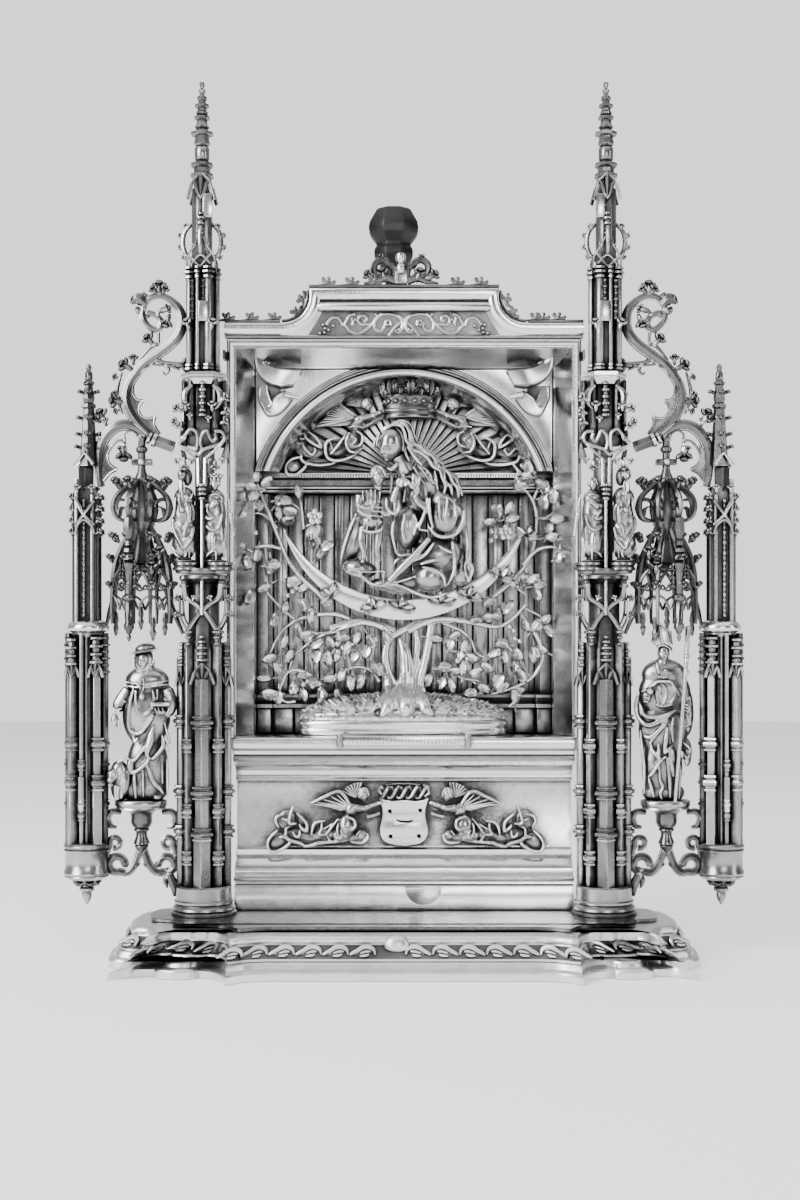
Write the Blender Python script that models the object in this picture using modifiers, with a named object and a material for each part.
"""Pax tablet: a silver pax built like a small late Gothic altarpiece.

The origin is on the ground in the middle of the foot, +Z is up and the front faces -Y.
Sizes and places are millimetres, and MM turns them into metres where a shape is made.
"""

import math

import bmesh
import bpy
from mathutils import Matrix, Vector

MM = 0.001
GAP = 0.3

# Foot
FOOT_HEIGHT = 22.0
FOOT_FRONT = (-62.0, -40.0)
FOOT_INNER_TIP = ((83.0, -72.0), (81.4, -43.0))
FOOT_OUTER_TIP = ((140.0, -54.0), (118.0, -24.0))
FOOT_SIDE_LOBE = (147.0, 127.0)

# Base storey and frame
STOREY_HALF_WIDTH = 85.0
BODY_BACK = 40.0
SHELF_TOP = 110.5
NICHE_HALF_WIDTH = 76.5
NICHE_TOP = 298.6
FRAME_TOP = NICHE_TOP + 13.6
FRAME_FRONT = 6.5
BACK_THICK = 1.7

# Niche
SPRING_Z = 246.0
ARCH_CENTRE_Z = 222.0
ARCH_OUTER = 81.0
ARCH_INNER = 71.5
BOARD_COUNT = 13
RAY_COUNT = 11
MOUND_TOP = 129.0
MOON_FRONT = 13.0
MOON_BACK = 19.7
RAY_FRONT = 34.4
CROWN_X = 3.3

# Crest
CREST_SHOULDER_Z = 320.5
CREST_TOP = 338.5
CREST_HALF_WIDTH = 91.5

# Piers
PIER_X = 100.5
PIER_NICHE_Z = 192.3
TOWER_Z = 294.0
TOP_Z = 440.0
OUTER_X = 159.0
SAINT_X = 132.0
SAINT_Z = 74.5

parts = None
shapes = None


def clear_scene():
    for thing in list(bpy.data.objects):
        bpy.data.objects.remove(thing, do_unlink=True)


def make_collections():
    global parts, shapes
    parts = bpy.data.collections.new("Pax tablet")
    shapes = bpy.data.collections.new("Construction shapes")
    for collection in (parts, shapes):
        bpy.context.scene.collection.children.link(collection)
    shapes.hide_render = True


def silver(name, grey, roughness):
    finish = bpy.data.materials.new(name)
    finish.use_nodes = True
    shader = finish.node_tree.nodes["Principled BSDF"]
    shader.inputs["Base Color"].default_value = (grey, grey, grey * 0.98, 1.0)
    shader.inputs["Roughness"].default_value = roughness
    shader.inputs["Metallic"].default_value = 1.0
    return finish


def shape_object(mesh):
    thing = bpy.data.objects.new("shape", mesh)
    shapes.objects.link(thing)
    thing.display_type = "WIRE"
    thing.hide_render = True
    return thing


def from_bmesh(bm):
    bmesh.ops.recalc_face_normals(bm, faces=bm.faces)
    mesh = bpy.data.meshes.new("shape")
    bm.to_mesh(mesh)
    bm.free()
    return shape_object(mesh)


def settled(thing):
    """The object as its modifiers or its curve make it, as a plain mesh object."""
    bpy.context.view_layer.update()
    view = bpy.context.evaluated_depsgraph_get()
    mesh = bpy.data.meshes.new_from_object(thing.evaluated_get(view))
    mesh.transform(thing.matrix_world)
    bpy.data.objects.remove(thing, do_unlink=True)
    return shape_object(mesh)


def welded(thing):
    """A settled curve with its end caps joined to its sides."""
    shape = settled(thing)
    bm = bmesh.new()
    bm.from_mesh(shape.data)
    bpy.data.objects.remove(shape, do_unlink=True)
    bmesh.ops.remove_doubles(bm, verts=bm.verts, dist=0.000002)
    return from_bmesh(bm)


def turned(profile, at, sides=8, turn=0.0, stretch=(1.0, 1.0)):
    """A turned solid from (radius, height) pairs that run down its outer side."""
    bm = bmesh.new()
    ends = [(0.0, profile[0][1]), *profile, (0.0, profile[-1][1])]
    points = [bm.verts.new((radius * MM, 0.0, z * MM)) for radius, z in ends]
    for first, second in zip(points, points[1:]):
        bm.edges.new((first, second))
    mesh = bpy.data.meshes.new("profile")
    bm.to_mesh(mesh)
    bm.free()
    thing = shape_object(mesh)
    screw = thing.modifiers.new("Turn", "SCREW")
    screw.steps = sides
    screw.render_steps = sides
    screw.use_merge_vertices = True
    screw.merge_threshold = 0.00001
    shape = welded(thing)
    shape.data.transform(Matrix.Rotation(math.radians(turn), 4, "Z"))
    shape.data.transform(Matrix.Diagonal((stretch[0], stretch[1], 1.0, 1.0)))
    shape.data.transform(Matrix.Translation(Vector(at) * MM))
    return shape


def clustered(levels, at, lobes=4, hollow=0.22):
    """A cluster of shafts: rings of (height, radius, fluted), the points between the lobes drawn in."""
    rings = []
    for z, radius, fluted in levels:
        ring = []
        for index in range(2 * lobes):
            angle = math.pi * index / lobes - math.pi / 2
            reach = radius * (1.0 - hollow) if fluted and index % 2 else radius
            ring.append((at[0] + reach * math.cos(angle), at[1] + reach * math.sin(angle), z))
        rings.append(ring)
    return lofted(rings)


def lofted(rings):
    """A skin over rings of equal count, closed by a face at each end."""
    bm = bmesh.new()
    rows = [[bm.verts.new(Vector(point) * MM) for point in ring] for ring in rings]
    count = len(rings[0])
    for low, high in zip(rows, rows[1:]):
        for index in range(count):
            after = (index + 1) % count
            bm.faces.new((low[index], low[after], high[after], high[index]))
    bm.faces.new(list(reversed(rows[0])))
    bm.faces.new(rows[-1])
    return from_bmesh(bm)


def plate(outline, front, back):
    """A flat shape from (x, z) points, standing between two depths."""
    curve = bpy.data.curves.new("outline", "CURVE")
    curve.dimensions = "2D"
    curve.fill_mode = "BOTH"
    curve.extrude = abs(back - front) / 2 * MM
    spline = curve.splines.new("POLY")
    spline.points.add(len(outline) - 1)
    for point, (x, z) in zip(spline.points, outline):
        point.co = (x * MM, z * MM, 0.0, 1.0)
    spline.use_cyclic_u = True
    thing = bpy.data.objects.new("outline", curve)
    shapes.objects.link(thing)
    thing.rotation_euler = (math.pi / 2, 0.0, 0.0)
    thing.location = (0.0, (front + back) / 2 * MM, 0.0)
    return welded(thing)


def tube(points, radii, sides=6):
    """A round bar through the points, with one radius or one for each point."""
    if not isinstance(radii, (list, tuple)):
        radii = [radii] * len(points)
    curve = bpy.data.curves.new("bar", "CURVE")
    curve.dimensions = "3D"
    curve.bevel_depth = MM
    curve.bevel_resolution = (sides - 4) // 2
    curve.use_fill_caps = True
    spline = curve.splines.new("POLY")
    spline.points.add(len(points) - 1)
    for point, place, radius in zip(spline.points, points, radii):
        point.co = (*(Vector(place) * MM), 1.0)
        point.radius = radius
    thing = bpy.data.objects.new("bar", curve)
    shapes.objects.link(thing)
    return welded(thing)


def ball(at, radii, sides=6, rows=4, lean=0.0):
    """An egg shape with half sizes along x, y and z, leaning about the y axis."""
    bm = bmesh.new()
    bmesh.ops.create_uvsphere(bm, u_segments=sides, v_segments=rows, radius=MM)
    bmesh.ops.scale(bm, vec=radii, verts=bm.verts)
    bmesh.ops.rotate(bm, matrix=Matrix.Rotation(math.radians(lean), 3, "Y"), verts=bm.verts)
    bmesh.ops.translate(bm, vec=Vector(at) * MM, verts=bm.verts)
    return from_bmesh(bm)


def bud(at, radii, lean=0.0):
    return ball(at, radii, sides=4, rows=2, lean=lean)


def block(low, high):
    bm = bmesh.new()
    bmesh.ops.create_cube(bm, size=MM)
    size = [b - a for a, b in zip(low, high)]
    middle = [(a + b) / 2 for a, b in zip(low, high)]
    bmesh.ops.scale(bm, vec=size, verts=bm.verts)
    bmesh.ops.translate(bm, vec=Vector(middle) * MM, verts=bm.verts)
    return from_bmesh(bm)


def combined(first, others, operation, solver="EXACT"):
    for other in others:
        step = first.modifiers.new(operation, "BOOLEAN")
        step.operation = operation
        step.object = other
        step.solver = solver
    result = settled(first)
    for other in others:
        bpy.data.objects.remove(other, do_unlink=True)
    return result


def fused(pieces):
    return combined(pieces[0], pieces[1:], "UNION")


def cast(pieces):
    """One body from many closed shapes that run through each other, as in a casting."""
    return combined(pieces[0], pieces[1:], "UNION", "MANIFOLD")


def lightened(shape, share):
    """The same form with fewer faces, for the small castings."""
    step = shape.modifiers.new("Lighten", "DECIMATE")
    step.ratio = share
    step.use_collapse_triangulate = True
    return settled(shape)


def piece(name, shape, finish):
    """Names a finished shape and puts it among the parts."""
    shapes.objects.unlink(shape)
    parts.objects.link(shape)
    shape.name = name
    shape.data.name = name
    shape.hide_render = False
    shape.display_type = "TEXTURED"
    shape.data.materials.append(finish)
    shape.data.shade_smooth()
    shape.data.set_sharp_from_angle(angle=math.radians(32))
    middle = sum((corner.co for corner in shape.data.vertices), Vector()) / len(shape.data.vertices)
    shape.data.transform(Matrix.Translation(-middle))
    shape.location = middle
    return shape


def blend(pair, rise):
    return pair[0] + (pair[1] - pair[0]) * rise


def foot_outline(rise):
    """Plan of the foot: rise is 0 on the ground and 1 at the deck."""
    front = blend(FOOT_FRONT, rise)
    inner = Vector([blend(pair, rise) for pair in zip(*FOOT_INNER_TIP)])
    outer = Vector([blend(pair, rise) for pair in zip(*FOOT_OUTER_TIP)])
    lobe = blend(FOOT_SIDE_LOBE, rise)
    chord = outer - inner
    inward = Vector((-chord.y, chord.x))
    quarter = [Vector((inner.x - 16.0, front)), inner]
    for along, depth in ((0.15, 0.26), (0.31, 0.33), (0.42, 0.19), (0.58, 0.19), (0.69, 0.33), (0.85, 0.26)):
        quarter.append(inner + chord * along + inward * depth)
    quarter.append(outer)
    quarter.append(Vector((lobe - 14.0, outer.y * 0.55)))
    quarter.append(Vector((lobe, outer.y * 0.22)))
    right = quarter + [Vector((point.x, -point.y)) for point in reversed(quarter)]
    return right + [-point for point in right]


def foot_tier(levels):
    rings = []
    for z, rise in levels:
        rings.append([(point.x, point.y, z) for point in foot_outline(rise)])
    return lofted(rings)


def make_foot(finish, dark):
    piece("foot_moulding", foot_tier(((0, 0), (3.5, 0), (8.0, 0.22))), finish)
    piece("leaf_frieze", foot_tier(((8.3, 0.27), (15.2, 0.57), (17.5, 0.54), (20.0, 0.7))), finish)
    piece("deck", foot_tier(((20.3, 1.0), (FOOT_HEIGHT, 1.0))), dark)


def storey(levels):
    """Rectangular rings of (height, projection) for the base storey's mouldings."""
    rings = []
    for z, out in levels:
        half = STOREY_HALF_WIDTH + 0.2 * out
        front = 15.0 - out
        rings.append([(-half, front, z), (half, front, z), (half, BODY_BACK, z), (-half, BODY_BACK, z)])
    return lofted(rings)


def make_base_storey(finish):
    foot = ((FOOT_HEIGHT + GAP, 6.0), (35.5, 6.0), (36.8, 4.0), (38.2, 6.5), (40.3, 6.5), (41.4, 4.5),
        (48.8, 1.8))
    panel = ((51.0, 3.0), (53.6, 3.0), (54.1, 1.0), (87.5, 1.0), (88.0, 3.0), (90.4, 3.0))
    cornice = ((91.0, 2.2), (96.5, 5.0), (98.0, 7.5), (103.3, 9.0))
    piece("predella", storey(foot + panel + cornice), finish)
    nosing = ((103.6, 9.6), (105.2, 11.0), (109.2, 11.0), (SHELF_TOP, 9.8))
    piece("shelf", storey(nosing), finish)


def make_shield(finish):
    right = ((4.0, 55.8), (9.0, 56.4), (11.9, 60.5), (11.2, 67.0), (10.4, 73.0), (12.6, 79.3), (6.0, 77.6))
    outline = [(0.0, 54.6), *right, (0.0, 77.0)]
    outline += [(-x, z) for x, z in reversed(right)]
    field = plate(outline, 9.4, 14.0 - GAP)
    knot = [(4.6 * step, 11.3, 81.5 - 3.0 * (-1) ** step) for step in range(-2, 3)]
    piece("shield", fused([field, tube(knot, 2.0, sides=4)]), finish)


def make_inscription_plate(finish):
    leaf = block((-32.0, 1.9, 105.6), (32.0, 4.0 - GAP, 111.4))
    ends = [turned([(1.7, 112.0), (1.7, 105.0)], (side * 32.2, 2.0, 0), sides=6) for side in (-1, 1)]
    piece("inscription_plate", fused([leaf, *ends]), finish)


def flying_angel(name, head, depth, back, side, wing, hip, tail, hand, finish):
    """A flying angel seen from the side, flat behind. Places are measured from the head, outwards and up."""

    def at(out, up, forward=0.0):
        return (head[0] + side * out, depth - forward, head[1] + up)

    robe = [at(1.8, -3.0, 2), at(hip[0] * 0.7, -10, 1.5), at(*hip, 1.5)]
    robe += [at(hip[0] + (tail[0] - hip[0]) * share, hip[1] + (tail[1] - hip[1]) * share + lift, 1)
             for share, lift in ((0.35, -3.0), (0.7, 0.5), (1.0, 0.0))]
    shapes_of_it = [
        tube(robe, [2.2, 4.2, 5.6, 4.8, 4.2, 1.2]),
        ball(at(0, 0, 2.5), (3.7, 4.0, 4.4), rows=3),
        tube([at(2, -5, 3), at(-1, -9, 4), at(*hand, 2.5)], [1.8, 1.7, 1.2], sides=4),
        tube([at(*hip, 1), at(hip[0] - 8, hip[1] - 2, 1), at(hip[0] - 6, hip[1] - 6, 1)], [4.6, 3.4, 1.8],
        sides=4),
    ]
    curl_root = (hip[0] + (tail[0] - hip[0]) * 0.45, hip[1] + (tail[1] - hip[1]) * 0.45)
    shapes_of_it.append(tube([at(*curl_root, 1), at(curl_root[0] + 4, curl_root[1] + 9, 1.5),
                              at(curl_root[0] + 13, curl_root[1] + 6, 1)], [3.4, 2.8, 1.3], sides=4))
    root = Vector((2.6, -6.0))
    tip = Vector(wing)
    across = Vector((-(tip - root).y, (tip - root).x)).normalized() * 5.0
    for turn, length, behind in ((0.0, 1.0, 0.0), (0.55, 0.62, 0.6)):
        spread = Matrix.Rotation(turn, 2)
        end = spread @ (root - tip) * -length
        broad = spread @ across
        corners = (Vector((0, 0)), end * 0.45 - broad, end, end * 0.5 + broad * 0.8)
        outline = [at(*(root + corner)) for corner in corners]
        shapes_of_it.append(plate([(x, z) for x, y, z in outline], depth - 1.9 + behind,
            depth + 1.0 + behind))
    behind = block((head[0] - 80.0, back, head[1] - 60.0), (head[0] + 80.0, back + 30.0, head[1] + 60.0))
    angel = lightened(cast(shapes_of_it), 0.62)
    piece(name, combined(angel, [behind], "DIFFERENCE", "MANIFOLD"), finish)


def make_predella_angels(finish):
    for side, label in ((-1, "left"), (1, "right")):
        flying_angel(f"predella_angel_{label}", (side * 21.6, 81.0), 11.0, 14.0 - GAP, side, (26.5, -3.0),
                     (8.0, -16.0), (41.0, -22.0), (-7.4, -5.0), finish)


def frame_section():
    """Section of the frame: distance outside the niche's edge, and depth."""
    return ((0.0, BODY_BACK), (0.0, 20.0), (9.2, 8.4), (10.0, FRAME_FRONT), (12.8, FRAME_FRONT), (13.6, 8.6),
            (13.6, BODY_BACK))


def make_frame(finish):
    foot_z = SHELF_TOP + GAP
    stations = ((-1, 0), (-1, 1), (1, 1), (1, 0))
    rings = []
    for side, top in stations:
        ring = []
        for out, y in frame_section():
            z = NICHE_TOP + out if top else foot_z
            ring.append((side * (NICHE_HALF_WIDTH + out), y, z))
        rings.append(ring)
    piece("frame", lofted(rings), finish)


def make_back_plate(finish):
    front = BODY_BACK + GAP
    body = block((-86.0, front, FOOT_HEIGHT + GAP), (86.0, front + BACK_THICK, FRAME_TOP - 1.0))
    piece("back_plate", body, finish)


def make_palisade(finish):
    half = NICHE_HALF_WIDTH - GAP
    width = 2 * half / BOARD_COUNT
    low, high = SHELF_TOP + GAP, SPRING_Z - 10.7
    plan = [(half, BODY_BACK), (-half, BODY_BACK)]
    for index in range(BOARD_COUNT):
        left = -half + index * width
        plan += [(left + 0.3, 36.2), (left + 1.0, 34.8), (left + width - 0.4, 35.2)]
    piece("palisade", lofted([[(x, y, z) for x, y in plan] for z in (low, high)]), finish)


def make_entablature(finish):
    half = NICHE_HALF_WIDTH - GAP
    rings = []
    for z, y in ((SPRING_Z - 10.4, 31.5), (SPRING_Z - 9.0, 29.8), (SPRING_Z - 7.4, 31.8),
        (SPRING_Z - 3.6, 31.8),
                 (SPRING_Z - 2.6, 29.6), (SPRING_Z - GAP, 28.8)):
        rings.append([(-half, y, z), (half, y, z), (half, BODY_BACK, z), (-half, BODY_BACK, z)])
    piece("entablature", lofted(rings), finish)


def arc(centre, radius, start, end, count):
    """Points on an arc in (x, z), the angles in degrees from +X."""
    points = []
    for index in range(count):
        angle = math.radians(start + (end - start) * index / (count - 1))
        points.append((centre[0] + radius * math.cos(angle), centre[1] + radius * math.sin(angle)))
    return points


def make_spandrels(finish):
    half = NICHE_HALF_WIDTH - GAP
    top = NICHE_TOP - GAP
    radius = ARCH_OUTER + 2 * GAP
    low = math.degrees(math.acos(half / radius)) + 0.5
    high = math.degrees(math.asin((top - ARCH_CENTRE_Z) / radius)) - 0.5
    for side, label in ((-1, "left"), (1, "right")):
        outline = [(half, top)]
        outline += [(x, z) for x, z in reversed(arc((0.0, ARCH_CENTRE_Z), radius, low, high, 6))]
        if side < 0:
            outline = [(-x, z) for x, z in outline]
        piece(f"spandrel_{label}", plate(outline, 20.0, 23.0), finish)


def make_archivolt(finish):
    section = ((ARCH_INNER, 32.0), (ARCH_INNER, 26.5), (75.0, 20.0), (77.5, 16.4), (ARCH_OUTER, 18.0),
        (ARCH_OUTER, 32.0))
    steps = 12
    rings = []
    for index in range(steps + 1):
        angle = math.radians(12 + 156 * index / steps)
        ring = []
        for radius, y in section:
            ring.append((radius * math.cos(angle), y, ARCH_CENTRE_Z + radius * math.sin(angle)))
        rings.append(ring)
    half = NICHE_HALF_WIDTH - GAP
    bounds = block((-half, 10.0, SPRING_Z), (half, 36.0, NICHE_TOP - GAP))
    piece("archivolt", combined(lofted(rings), [bounds], "INTERSECT"), finish)


def make_sunburst(finish):
    """Flat rays that fan out behind the main figure's head."""
    centre = (1.5, SPRING_Z + 2.0)
    outline = [(centre[0] - 18.0, SPRING_Z + GAP), (centre[0] + 18.0, SPRING_Z + GAP)]
    for index in range(RAY_COUNT):
        angle = math.radians(9 + 162 * index / (RAY_COUNT - 1))
        direction = Vector((math.cos(angle), math.sin(angle)))
        across = Vector((-direction.y, direction.x)) * 3.0
        reach = 44.0 if index % 2 else 39.0
        reach += 20.0 * abs(direction.x) ** 1.5
        valley = math.radians(9 + 162 * (index + 0.5) / (RAY_COUNT - 1))
        end = direction * reach
        outline.append((centre[0] + end.x - across.x, centre[1] + end.y - across.y))
        outline.append((centre[0] + end.x + across.x, centre[1] + end.y + across.y))
        if index < RAY_COUNT - 1:
            outline.append((centre[0] + 22 * math.cos(valley), centre[1] + 22 * math.sin(valley)))
    piece("sunburst", plate(outline, RAY_FRONT, BODY_BACK), finish)


def make_ribbons(finish):
    """A folded ribbon in each spandrel: the upper band curls up at its outer end, the lower one rolls in."""
    upper = ((53.5, 297.4), (54.0, 291.5), (63.0, 289.0), (73.0, 292.0), (75.4, 297.8), (70.0, 297.4),
        (63.0, 294.2))
    lower = ((74.4, 295.0), (75.2, 286.5), (71.5, 277.5), (66.5, 276.2), (56.6, 282.6), (55.6, 286.0),
        (61.0, 284.0),
             (67.0, 283.0), (70.4, 293.6))
    for side, label in ((-1, "left"), (1, "right")):
        front = plate([(side * x, z) for x, z in upper], 13.2, 16.2)
        under = plate([(side * x, z) for x, z in lower], 15.4, 20.0 - GAP)
        piece(f"ribbon_{label}", fused([front, under]), finish)


def make_crest(finish):
    """The cornice, its raised middle with concave shoulders, and the roll below the top."""
    half = CREST_HALF_WIDTH
    top = CREST_TOP - GAP
    shoulder = CREST_SHOULDER_Z
    rings = []
    for z, half_width, y in ((FRAME_TOP + GAP, 88.8, 9.0), (315.5, 88.8, 9.0), (317.6, half - 0.6, 6.6),
                             (shoulder, half, 6.0)):
        rings.append([(-half_width, y, z), (half_width, y, z), (half_width, BODY_BACK, z),
                      (-half_width, BODY_BACK, z)])
    cornice = lofted(rings)
    side = [(63.5, shoulder - 1.0), (61.0, shoulder + 0.6)]
    side += [(x, z) for x, z in arc((62.0, 334.2), 12.6, 255, 185, 4)]
    side += [(49.4, top)]
    outline = side + [(-x, z) for x, z in reversed(side)]
    middle = plate(outline, 8.4, BODY_BACK - 0.4)
    cap = block((-48.9, 6.4, 332.4), (48.9, 20.0, top - 0.5))
    roll = tube([(-45.0, 8.6, 328.8), (45.0, 8.6, 328.8)], 2.0)
    piece("crest", fused([cornice, middle, cap, roll]), finish)


def make_cresting(finish):
    """A thin rail along the crest's top with a leafy bud at even steps."""
    z = CREST_TOP
    rail = block((-48.6, 8.0, z), (48.6, 11.0, z + 1.4))
    leaves = [rail]
    for x in (-43.0, -31.0, 31.0, 43.0):
        leaves.append(bud((x, 9.5, z + 2.6), (3.2, 2.0, 2.4)))
    piece("cresting", fused(leaves), finish)
    for side, label in ((-1, "left"), (1, "right")):
        base = CREST_SHOULDER_Z + GAP
        low = [block((min(side * 66.0, side * 91.0), 8.0, base),
            (max(side * 66.0, side * 91.0), 11.0, base + 1.4))]
        for x in (72.0, 84.0):
            low.append(bud((side * x, 9.5, base + 2.6), (3.2, 2.0, 2.4)))
        piece(f"shoulder_cresting_{label}", fused(low), finish)


def make_finial(finish):
    base = CREST_TOP + 1.4 + GAP
    foot = plate([(-21.0, base), (19.0, base), (14.0, base + 4.2), (4.0, base + 6.0), (0.0, base + 12.0),
                  (-3.6, base + 12.0), (-7.0, base + 6.0), (-16.0, base + 4.2)], 7.0, 12.0)
    volutes = []
    for x, z in ((-10.1, 347.8), (8.2, 348.4)):
        volutes.append(ball((x, 9.5, z), (4.0, 3.2, 4.0), rows=3))
    beads = [ball((-1.7, 9.0, 353.0), (2.6, 3.4, 4.6), rows=3)]
    piece("finial", lightened(cast([foot, *volutes, *beads]), 0.75), finish)


def make_handle(dark):
    """The bar stands clear of the back and carries the knob that shows over the crest."""
    x = -5.5
    back = BODY_BACK + GAP + BACK_THICK + GAP
    knob = [(9.0, 388.0), (11.0, 387.0), (14.2, 378.4), (9.4, 368.6), (11.2, 364.0), (7.0, 358.0),
        (5.0, 352.0)]
    bar = [(x, back + 8.0, 356.0), (x, back + 12.0, 335.0), (x, back + 22.0, 290.0), (x, back + 23.0, 240.0),
           (x, back + 17.0, 196.0), (x, back + 4.0, 172.0)]
    pieces = [
        turned(knob, (x, back + 9.0, 0.0), sides=8, turn=22.5),
        tube(bar, [4.6, 4.4, 4.8, 5.2, 4.8, 4.0]),
        block((x - 9.0, back, 158.0), (x + 9.0, back + 3.0, 184.0)),
        tube([(x, back + 19.0, 300.0), (x, back + 2.0, 300.0)], 4.0, sides=4),
        block((x - 9.0, back, 290.0), (x + 9.0, back + 3.0, 310.0)),
    ]
    piece("handle", lightened(cast(pieces), 0.75), dark)


def frame_tie(side, y, z):
    """A short bar that holds a pier to the frame's side."""
    near, far = NICHE_HALF_WIDTH + 13.6 + GAP, PIER_X
    return block((min(side * near, side * far), y - 3.0, z),
        (max(side * near, side * far), y + 6.0, z + 5.0))


def make_inner_pier(side, label, finish):
    """Clustered shafts on a round drum, with collars, a band of gables and crossing branches."""
    levels = (
        (FOOT_HEIGHT + GAP, 16.4, 0), (25.4, 16.2, 0), (27.2, 14.6, 0), (34.0, 14.6, 0), (35.6, 12.2, 1),
        (54.0, 12.0, 1), (58.0, 13.2, 0), (62.0, 11.7, 1), (78.4, 11.5, 1), (81.0, 12.6, 0), (83.6, 11.2, 1),
        (105.0, 11.0, 1), (108.4, 12.4, 0), (112.0, 10.6, 1), (134.0, 10.4, 1), (138.0, 12.2, 1),
        (158.0, 9.4, 1),
        (172.0, 8.8, 1), (188.0, 12.2, 0), (PIER_NICHE_Z - GAP, 12.2, 0),
    )
    pier = clustered(levels, (side * PIER_X, 0.0))
    piece(f"inner_pier_{label}", cast([pier, frame_tie(side, 8.0, 150.0)]), finish)


def make_pier_canopy(side, label, finish):
    """The pier's middle: two round slabs, a column behind the small figures and the tracery over them."""
    x = side * PIER_X
    base = PIER_NICHE_Z
    slabs = [turned([(7.0, 198.4), (5.8, base + 0.6)], (x + offset, -5.0, 0.0)) for offset in (-8.3, 8.3)]
    foot = turned([(11.9, 195.4), (11.9, base)], (x, 0.2, 0.0), turn=22.5)
    column = turned([(5.0, 250.0), (4.4, 236.0), (5.6, 193.4)], (x, 4.5, 0.0), sides=6)
    rod = turned([(1.6, 250.0), (1.6, 196.0)], (x, -3.2, 0.0), sides=4)
    levels = ((248.0, 7.0, 1), (252.0, 12.0, 1), (264.0, 12.2, 1), (270.0, 9.6, 1), (286.0, 10.4, 1),
              (289.6, 11.6, 0), (TOWER_Z - GAP, 11.6, 0))
    tracery = clustered(levels, (x, 0.0), hollow=0.28)
    piece(f"pier_canopy_{label}", lightened(cast([foot, column, rod, *slabs, tracery]), 0.85), finish)


def make_tower(side, label, finish):
    """Bundled shafts, two looped brackets, a gable and a tall stepped spire."""
    x = side * (PIER_X + 1.0)
    levels = (
        (TOWER_Z, 8.4, 1), (342.0, 7.6, 1), (345.0, 8.8, 0), (349.6, 8.0, 0), (351.6, 5.8, 1),
        (380.0, 5.6, 1),
        (383.0, 8.2, 1), (390.0, 4.2, 0), (395.0, 5.8, 0), (399.0, 3.6, 0), (402.6, 5.2, 0), (406.4, 3.2, 0),
        (410.0, 4.6, 0), (418.0, 2.4, 0), (TOP_Z, 0.8, 0),
    )
    stem = clustered(levels, (x, 0.0), hollow=0.3)
    loops = []
    for way in (-1, 1):
        bend = [(x + way * reach, 0.0, z) for reach, z in ((4.0, 351.5), (9.6, 354.5), (10.6, 362.0),
            (4.0, 369.5))]
        loops.append(tube(bend, 1.3, sides=4))
    piece(f"tower_{label}", lightened(cast([stem, *loops, frame_tie(side, 5.0, 301.0)]), 0.85), finish)


def robe(at, levels, sides, folds=0.12):
    """A draped body: rings of (height, half width, half depth, shift x, shift y) with folds round it."""
    rings = []
    for number, (z, wide, deep, over, forward) in enumerate(levels):
        ring = []
        for index in range(sides):
            angle = 2 * math.pi * index / sides - math.pi / 2
            fold = 1.0 + folds * (1 if index % 2 else -1) * (1 if number < len(levels) - 2 else 0)
            ring.append((at[0] + over + wide * fold * math.cos(angle),
                at[1] + forward + deep * fold * math.sin(angle),
                         at[2] + z))
        rings.append(ring)
    return lofted(rings)


def make_small_figures(side, label, finish):
    for number, offset in ((1, -8.3), (2, 8.3)):
        at = (side * PIER_X + offset, -5.2, 198.4 + GAP)
        levels = ((0, 5.6, 4.4, 0, 0), (14, 5.0, 4.2, 0, 0), (29, 6.0, 4.6, 0, 0), (37.5, 2.0, 1.8, 0, 0))
        body = robe(at, levels, 8)
        head = ball((at[0], at[1] - 0.6, at[2] + 40.6), (2.9, 3.2, 4.0), sides=6, rows=3)
        hands = bud((at[0], at[1] - 4.0, at[2] + 24.5), (3.4, 2.4, 2.4))
        piece(f"pier_figure_{label}_{number}", lightened(cast([body, head, hands]), 0.8), finish)


def make_outer_pier(side, label, finish):
    """A slimmer clustered pier that hangs from a bud and ends in a spire of its own."""
    levels = (
        (26.2, 1.2, 0), (33.0, 3.6, 0), (38.0, 9.0, 1), (41.2, 12.4, 0), (43.2, 10.4, 0), (53.4, 10.4, 0),
        (55.6, 9.4, 1), (84.0, 9.0, 1), (86.0, 10.2, 0), (88.0, 8.8, 1), (104.6, 8.6, 1), (106.6, 9.8, 0),
        (108.6, 8.4, 1), (141.0, 8.4, 1), (146.0, 12.0, 1), (160.0, 9.0, 1), (165.0, 10.7, 0),
        (168.0, 6.6, 1),
        (194.0, 7.6, 1), (230.0, 6.2, 1),
    )
    lower = clustered(levels, (side * OUTER_X, 0.0), hollow=0.26)
    tip = ((228.0, 3.2, 0), (245.0, 3.2, 0), (249.0, 4.7, 1), (258.0, 2.8, 0), (266.0, 4.2, 0),
        (298.3, 0.6, 0))
    spire = clustered(tip, (side * (OUTER_X + 1.0), 0.0))
    piece(f"outer_pier_{label}", cast([lower, spire]), finish)


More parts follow.
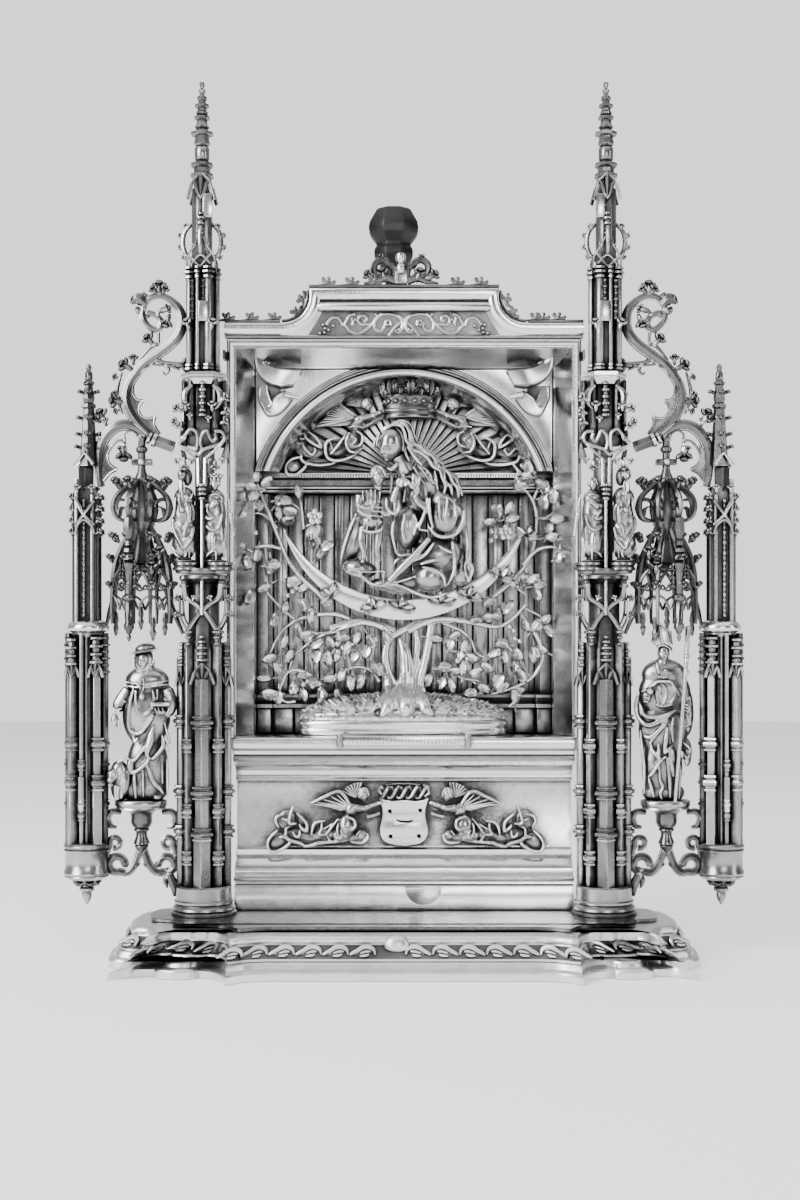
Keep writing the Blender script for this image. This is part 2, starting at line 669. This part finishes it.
def make_scroll(side, label, finish):
    """The arch from the outer pier to the inner one, with the leafy S-scroll that grows out of it."""

    def at(x, z):
        return (side * x, 0.0, z)

    arch = [at(153.0, 230.0 + GAP), at(153.0, 254.0), at(150.8, 261.5), at(146.0, 266.6), at(140.4, 267.8)]
    arch += [at(134.4, 265.2), at(125.4, 260.2), at(114.2, 256.8)]
    spiral = arc((122.6, 321.5), 11.2, -34, 166, 6)
    stalk = [at(124.7, 259.6), at(133.5, 268.0), at(138.2, 277.0), at(138.2, 286.0), at(134.0, 295.0),
        at(126.0, 302.4)]
    stalk += [at(2 * 122.6 - x, z) for x, z in spiral]
    stalk += [at(130.4, 316.2), at(123.6, 313.8), at(122.4, 319.0)]
    thick = [1.6, 1.9, 1.9, 1.9, 2.0, 2.1] + [2.0, 1.9, 1.8, 1.6, 1.4, 1.3] + [1.4, 1.8, 1.2]
    pieces = [
        tube(arch, [1.7, 1.8, 1.9, 2.0, 2.0, 2.1, 2.0, 2.6]),
        tube(stalk, thick),
        tube([at(128.0, 300.0), at(120.0, 298.4), at(113.8, 297.0)], [1.4, 1.2, 2.0], sides=4),
    ]
    for x, z, size in ((124.0, 334.8, 2.6), (135.6, 328.6, 4.4), (137.6, 296.6, 2.8), (141.0, 280.0, 2.6),
                       (150.8, 265.4, 2.8)):
        pieces.append(bud(at(x, z), (size, size * 0.8, size)))
    pieces.append(tube([at(152.6, 251.0), at(142.6, 252.6), at(136.0, 265.0)], 1.0, sides=4))
    pieces.append(tube([at(137.6, 281.0), at(129.4, 277.6), at(130.0, 264.6)], [1.0, 0.8, 1.6], sides=4))
    piece(f"scroll_arch_{label}", lightened(cast(pieces), 0.66), finish)


def make_hanging_canopy(side, label, finish):
    """A small hollow dome on a pole, with a pinnacle in front and ribs to the piers at its sides."""
    x = side * 133.0
    bell = [(1.9, 260.6), (3.0, 251.0), (2.0, 242.0), (8.4, 228.0), (6.0, 215.0), (13.2, 184.0),
        (13.0, 170.0)]
    outside = turned(bell, (x, 1.0, 0.0), sides=8, turn=22.5)
    inside = turned([(4.0, 196.0), (11.0, 180.0), (11.2, 166.0)], (x, 1.0, 0.0), sides=8, turn=22.5)
    dome = combined(outside, [inside], "DIFFERENCE", "MANIFOLD")
    front = side * 137.5
    pinnacle = turned([(0.9, 219.0), (3.2, 208.0), (2.6, 182.0), (3.6, 180.0), (2.6, 178.0), (3.2, 166.0),
        (0.8, 158.6)],
                      (front, -11.5, 0.0), sides=6)
    pieces = [dome, pinnacle]
    for way in (-1, 1):
        bow = [(x + way * reach, 1.0, z) for reach, z in ((2.0, 238.0), (14.6, 232.0), (15.4, 222.0),
            (4.0, 217.0))]
        pieces.append(tube(bow, 1.4, sides=4))
        rib = [(x + way * reach, 1.0, z) for reach, z in ((8.0, 206.0), (16.4, 190.0), (18.0, 171.0))]
        pieces.append(tube(rib, [1.6, 1.6, 1.2], sides=4))
    pieces.append(bud((x - side * 9.4, -7.6, 168.5), (2.2, 2.2, 6.0)))
    piece(f"hanging_canopy_{label}", lightened(cast(pieces), 0.6), finish)


def make_console(side, label, finish):
    """A baluster that carries the figure, held by a ring scroll against each pier."""
    x = side * SAINT_X
    stem = turned([(11.6, 74.2), (11.6, 72.8), (5.6, 71.4), (5.2, 67.0), (3.2, 65.2), (4.6, 63.8),
        (2.6, 57.0),
                   (3.4, 52.0), (1.0, 46.0)], (x, 0.0, 0.0), turn=22.5)
    pieces = [stem]
    for way in (-1, 1):
        curl = [(1.0, 61.0), (4.6, 56.6)] + arc((10.4, 47.8), 4.2, 160, 430, 6)
        pieces.append(tube([(x + way * out, 0.0, z) for out, z in curl], 1.6, sides=4))
        pieces.append(bud((x + way * 8.6, 0.4, 56.6), (2.6, 2.2, 4.6), lean=way * 30))
        hook = ((10.2, 72.6), (15.4, 70.4), (13.4, 65.6))
        pieces.append(tube([(x + way * out, 0.0, z) for out, z in hook], 1.2, sides=4))
    reach = [(x - side * 12.2, 0.3, 43.9), (x - side * 15.2, 0.3, 37.0), (x - side * 15.9, 0.3, 31.0)]
    pieces.append(tube(reach, [1.5, 1.7, 0.8], sides=4))
    piece(f"console_{label}", lightened(cast(pieces), 0.7), finish)


def make_left_figure(finish):
    """A standing figure with a broad hat, a cape and a book, and a lion sitting at the feet."""
    x, z = -SAINT_X, SAINT_Z
    at = (x, 0.0, z)
    slab = turned([(12.0, 79.0), (13.2, 78.0), (13.2, SAINT_Z)], (x - 0.3, 0.0, 0.0), sides=10,
        stretch=(1.0, 0.72))
    gown = robe(at, ((3.0, 9.4, 7.0, 1.4, 0), (12, 8.6, 6.6, 1.4, 0), (30, 8.8, 6.6, 0.6, 0),
        (46, 9.0, 6.2, 0, 0),
                     (54, 11.6, 6.4, 0.4, 0), (62, 8.6, 5.4, 0.2, 0), (68, 3.4, 3.0, 0, 0)), 12, folds=0.1)
    head = ball((x + 1.0, -1.6, z + 72.6), (4.0, 4.6, 5.6))
    hood = ball((x + 1.0, 1.0, z + 71.4), (5.0, 4.4, 6.2))
    hat = turned([(1.6, 158.0), (5.0, 156.8), (8.0, 153.4), (5.0, 152.4)], (x + 1.6, 0.0, 0.0), sides=8)
    apron = robe((x + 0.6, -4.6, z), ((16, 1.6, 1.6, -3.4, 0), (30, 6.4, 2.6, -1.0, -0.6),
        (44, 7.0, 3.0, 0, -0.6),
                                      (50, 5.0, 2.4, 0, 0.6)), 6, folds=0.0)
    right_arm = tube([(x - 8.6, 0.0, z + 56), (x - 11.6, -2.0, z + 47), (x - 10.6, -5.0, z + 40),
        (x - 13.0, -6.0, z + 34)],
                     [3.0, 3.4, 3.2, 1.8])
    left_arm = tube([(x + 8.0, 0.3, z + 55), (x + 11.4, -2.0, z + 45), (x + 6.4, -7.0, z + 42)],
        [3.0, 3.2, 2.0])
    book = block((x + 3.6, -9.6, z + 42.6), (x + 10.6, -5.0, z + 46.0))
    lion_body = ball((x - 8.0, -4.0, z + 9.5), (6.0, 5.0, 7.4), lean=18)
    lion_head = ball((x - 11.4, -6.4, z + 15.4), (4.2, 4.2, 4.4))
    ears = [bud((x - 11.4 + way * 3.0, -5.6, z + 19.6), (1.4, 1.2, 1.8)) for way in (-1, 1)]
    figure = lightened(cast([gown, head, hood, hat, apron, right_arm, left_arm, book, lion_body, lion_head,
        *ears]), 0.46)
    piece("figure_with_lion", cast([figure, slab]), finish)


def make_right_figure(finish):
    """A standing figure with a mitre and a long staff, the mantle falling in deep loops."""
    x, z = SAINT_X, SAINT_Z
    at = (x, 0.0, z)
    slab = turned([(11.6, 79.0), (12.6, 78.0), (12.6, SAINT_Z)], (x - 0.5, 0.0, 0.0), sides=10,
        stretch=(1.0, 0.75))
    gown = robe(at, ((3.0, 8.4, 6.4, -1.6, 0), (14, 7.6, 6.0, -1.4, 0), (32, 9.4, 6.6, -0.6, 0),
        (46, 11.0, 6.8, 0, 0),
                     (54, 12.6, 6.2, 0, 0), (61, 9.0, 5.2, -0.6, 0), (67, 3.2, 3.0, -1.0, 0)), 12, folds=0.1)
    head = ball((x - 2.0, -1.4, z + 72.4), (4.2, 4.8, 5.6))
    mitre = plate([(x - 6.6, z + 76.0), (x + 2.6, z + 76.0), (x + 3.2, z + 83.0), (x - 1.6, z + 91.4),
        (x - 6.2, z + 84.6)],
                  -4.2, 2.6)
    loops = []
    for drop, wide in ((38.0, 6.0), (27.0, 6.8)):
        loops.append(tube([(x - wide, -5.0, z + drop + 10), (x - 1.0, -7.8, z + drop),
            (x + wide - 1.0, -5.0, z + drop + 10)],
                          [1.6, 2.2, 1.6], sides=4))
    right_arm = tube([(x - 9.0, 0.3, z + 54), (x - 12.2, -3.0, z + 44), (x - 5.6, -8.6, z + 48)],
        [3.0, 2.8, 1.6])
    left_arm = tube([(x + 8.6, 0.3, z + 55), (x + 11.4, -3.0, z + 46), (x + 6.4, -8.0, z + 43)],
        [3.0, 3.2, 2.2])
    staff = tube([(x + 8.4, -7.2, z + 90.0), (x + 6.6, -8.4, z + 44.0), (x + 4.6, -6.6, z + 4.0)],
        [1.1, 1.0, 0.9], sides=4)
    top = ball((x + 8.4, -7.2, z + 90.0), (1.8, 1.8, 2.4), sides=4, rows=4)
    figure = lightened(cast([gown, head, mitre, *loops, right_arm, left_arm, staff, top]), 0.52)
    piece("figure_with_staff", cast([figure, slab]), finish)


def make_mound(finish):
    profile = [(30.0, MOUND_TOP), (52.5, 122.6), (51.4, 119.4), (54.0, 117.0), (52.0, SHELF_TOP + GAP)]
    piece("mound", turned(profile, (-0.5, 20.0, 0.0), sides=16, stretch=(1.0, 0.26)), finish)


def make_crescent(finish):
    outer = arc((0.0, 233.7), 64.1, 194, 346, 13)
    inner = arc((0.0, 250.4), 70.1, 332, 208, 11)
    piece("crescent", plate(outer + inner, MOON_FRONT, MOON_BACK), finish)


def make_tree(finish):
    """Two stems rise from one root, cross below the crescent and spread into leafy branches."""
    y = 24.5
    pieces = [
        tube([(-6.5, 21.5, 126.0), (-6.0, 22.5, 136.0), (-8.5, 23.5, 152.0), (-4.0, y, 166.0),
        (4.0, y, 176.0)],
             [7.4, 5.0, 3.8, 3.4, 2.4]),
        tube([(7.0, 21.5, 126.0), (5.0, 22.5, 138.0), (9.0, 23.5, 152.0), (6.0, y, 165.0), (-3.0, y, 176.0)],
             [7.4, 5.2, 4.2, 3.4, 2.4]),
        ball((0.0, y, 171.5), (7.0, 5.6, 4.6)),
    ]
    branches = (
        ((-3.0, 167.0), (-24.0, 168.6), (-47.0, 164.6), (-62.0, 163.4), (-68.6, 152.6)),
        ((-10.0, 163.0), (-22.0, 150.0), (-40.0, 144.0), (-56.0, 136.0)),
        ((3.0, 167.0), (23.0, 169.6), (41.5, 167.0), (53.0, 172.2), (65.0, 178.0)),
        ((10.0, 163.0), (24.0, 152.0), (42.0, 148.0), (60.0, 138.0)),
        ((-30.0, 168.0), (-50.0, 184.0), (-62.0, 202.0), (-70.0, 224.0), (-71.6, 240.0)),
        ((30.0, 169.0), (52.0, 186.0), (64.0, 204.0), (70.0, 224.0), (66.0, 243.0)),
    )
    for number, route in enumerate(branches):
        places = [(x, y + (0.4 if index % 2 else -0.4), z) for index, (x, z) in enumerate(route)]
        radii = [2.2 - 0.28 * index for index in range(len(places))]
        pieces.append(tube(places, radii, sides=4))
        for index, (x, z) in enumerate(route[1:]):
            way = 1 if (index + number) % 2 else -1
            lean = 35 * way + 12 * number
            spread = math.radians(lean)
            spot = (x + 4.0 * math.sin(spread), y - 1.2, z + 4.0 * math.cos(spread))
            pieces.append(bud(spot, (3.0, 1.6, 6.0), lean=lean))
    half = NICHE_HALF_WIDTH - GAP
    space = block((-half, MOON_BACK + GAP, MOUND_TOP + GAP), (half, 34.5, SPRING_Z - GAP))
    grown = lightened(cast(pieces), 0.56)
    piece("tree", combined(grown, [space], "INTERSECT", "MANIFOLD"), finish)


def make_mother_and_child(finish):
    """The mother sits on the crescent and holds the child upright on her knee, her head bent towards it."""
    back = MOON_FRONT - GAP
    pieces = [
        # The mother's body, lap, knees and the cloak falling to both sides
        robe((2.0, 5.0, 0.0), ((196, 19.0, 8.0, 0, 0), (208, 15.0, 8.0, 1, 0), (222, 13.0, 7.4, 2, 0),
                               (238, 12.0, 6.6, 1, 0), (248, 9.0, 5.6, -1, 0), (254, 4.0, 3.6, -3, 0)), 12,
                               folds=0.06),
        tube([(26.0, 4.0, 200.0), (12.0, -2.6, 193.0), (-8.0, -2.0, 190.0), (-26.0, 2.0, 193.6)],
        [8.0, 9.6, 8.2, 4.2]),
        tube([(20.0, 5.0, 204.0), (-4.0, 0.0, 205.0), (-18.0, 2.0, 197.0)], [8.0, 9.0, 5.4]),
        tube([(14.0, 6.0, 216.0), (31.0, 6.0, 204.0), (33.0, 7.0, 190.0), (22.0, 7.6, 182.6)],
        [4.0, 5.4, 4.4, 2.0]),
        tube([(-8.0, 6.0, 236.0), (-26.0, 7.6, 218.0), (-33.0, 7.6, 202.0), (-36.0, 7.0, 194.0)],
        [3.4, 4.6, 4.4, 2.0]),
        tube([(-26.0, 7.0, 184.6), (-2.0, 7.6, 180.0), (22.0, 7.0, 182.6)], [3.0, 6.0, 3.0], sides=4),
        # The mother's head, hair, sleeve and joined hands
        ball((-7.0, -1.4, 259.0), (5.2, 5.8, 7.4), sides=8, rows=5, lean=12),
        ball((-2.4, 3.6, 262.0), (8.0, 6.6, 8.4), sides=8, rows=5, lean=20),
        tube([(3.0, 2.0, 262.0), (10.0, 1.0, 252.0), (18.0, 2.0, 243.0), (22.0, 4.0, 232.0)],
        [3.6, 4.2, 3.8, 2.0]),
        tube([(12.0, 2.0, 244.0), (19.0, -1.6, 232.0), (19.6, -3.0, 220.0), (14.0, -5.0, 214.0)],
        [4.4, 5.6, 6.4, 4.6]),
        tube([(15.0, -4.0, 222.0), (7.0, -6.4, 230.0), (2.0, -7.2, 238.4)], [4.0, 2.6, 1.5]),
        tube([(-4.0, -1.0, 240.0), (-10.0, -5.0, 230.0), (-15.0, -6.2, 223.4)], [4.4, 3.2, 1.8]),
        # The child
        ball((-13.2, -4.2, 241.6), (4.2, 4.6, 5.0)),
        ball((-15.8, -3.6, 228.4), (5.6, 4.8, 10.6)),
        tube([(-17.6, -3.6, 220.0), (-19.2, -5.2, 208.0), (-20.4, -4.6, 197.6)], [3.6, 2.8, 1.8]),
        tube([(-14.4, -3.6, 220.0), (-12.6, -5.4, 209.0), (-12.6, -4.6, 198.0)], [3.6, 2.8, 1.8]),
        tube([(-20.0, -3.6, 233.6), (-20.6, -6.4, 227.6), (-15.4, -8.0, 227.0)], [2.2, 2.0, 1.4], sides=4),
    ]
    group = lightened(cast(pieces), 0.7)
    behind = block((-60.0, back, 160.0), (60.0, 40.0, 290.0))
    piece("mother_and_child", combined(group, [behind], "DIFFERENCE", "MANIFOLD"), finish)


def make_crown(finish):
    x, y = CROWN_X, 27.0
    points = 6
    rings = []
    for z, radius, peak in ((273.4, 12.4, 0.0), (275.0, 13.4, 0.0), (280.6, 13.6, 0.0), (284.4, 14.2, 6.6)):
        ring = []
        for index in range(2 * points):
            angle = math.pi * index / points - math.pi / 2
            lift = peak if index % 2 == 0 else 0.0
            ring.append((x + radius * math.cos(angle), y + radius * 0.5 * math.sin(angle), z + lift))
        rings.append(ring)
    shell = lofted(rings)
    well = turned([(12.6, 300.0), (11.4, 276.4)], (x, y, 0.0), sides=10, stretch=(1.0, 0.42))
    piece("crown", combined(shell, [well], "DIFFERENCE"), finish)


def make_crown_angels(finish):
    for side, label in ((-1, "left"), (1, "right")):
        flying_angel(f"crown_angel_{label}", (CROWN_X + side * 23.4, 281.0), 30.5, RAY_FRONT - GAP, side,
                     (20.0, -8.5), (3.0, -21.0), (28.5, -20.0), (-7.0, -5.4), finish)


def main():
    clear_scene()
    make_collections()
    bright = silver("Polished silver", 0.72, 0.24)
    soft = silver("Worn cast silver", 0.55, 0.34)
    shaded = silver("Darkened silver", 0.32, 0.42)
    dark = silver("Dark handle", 0.08, 0.5)
    make_foot(bright, shaded)
    make_base_storey(bright)
    make_shield(soft)
    make_inscription_plate(bright)
    make_predella_angels(soft)
    make_frame(bright)
    make_back_plate(shaded)
    make_palisade(shaded)
    make_entablature(soft)
    make_spandrels(bright)
    make_archivolt(bright)
    make_sunburst(soft)
    make_ribbons(bright)
    make_crest(bright)
    make_cresting(shaded)
    make_finial(shaded)
    make_handle(dark)
    for side, label in ((-1, "left"), (1, "right")):
        make_inner_pier(side, label, soft)
        make_pier_canopy(side, label, shaded)
        make_tower(side, label, soft)
        make_small_figures(side, label, soft)
        make_outer_pier(side, label, shaded)
        make_scroll(side, label, shaded)
        make_hanging_canopy(side, label, shaded)
        make_console(side, label, shaded)
    make_left_figure(soft)
    make_right_figure(soft)
    make_mound(soft)
    make_crescent(bright)
    make_tree(soft)
    make_mother_and_child(soft)
    make_crown(shaded)
    make_crown_angels(soft)


main()
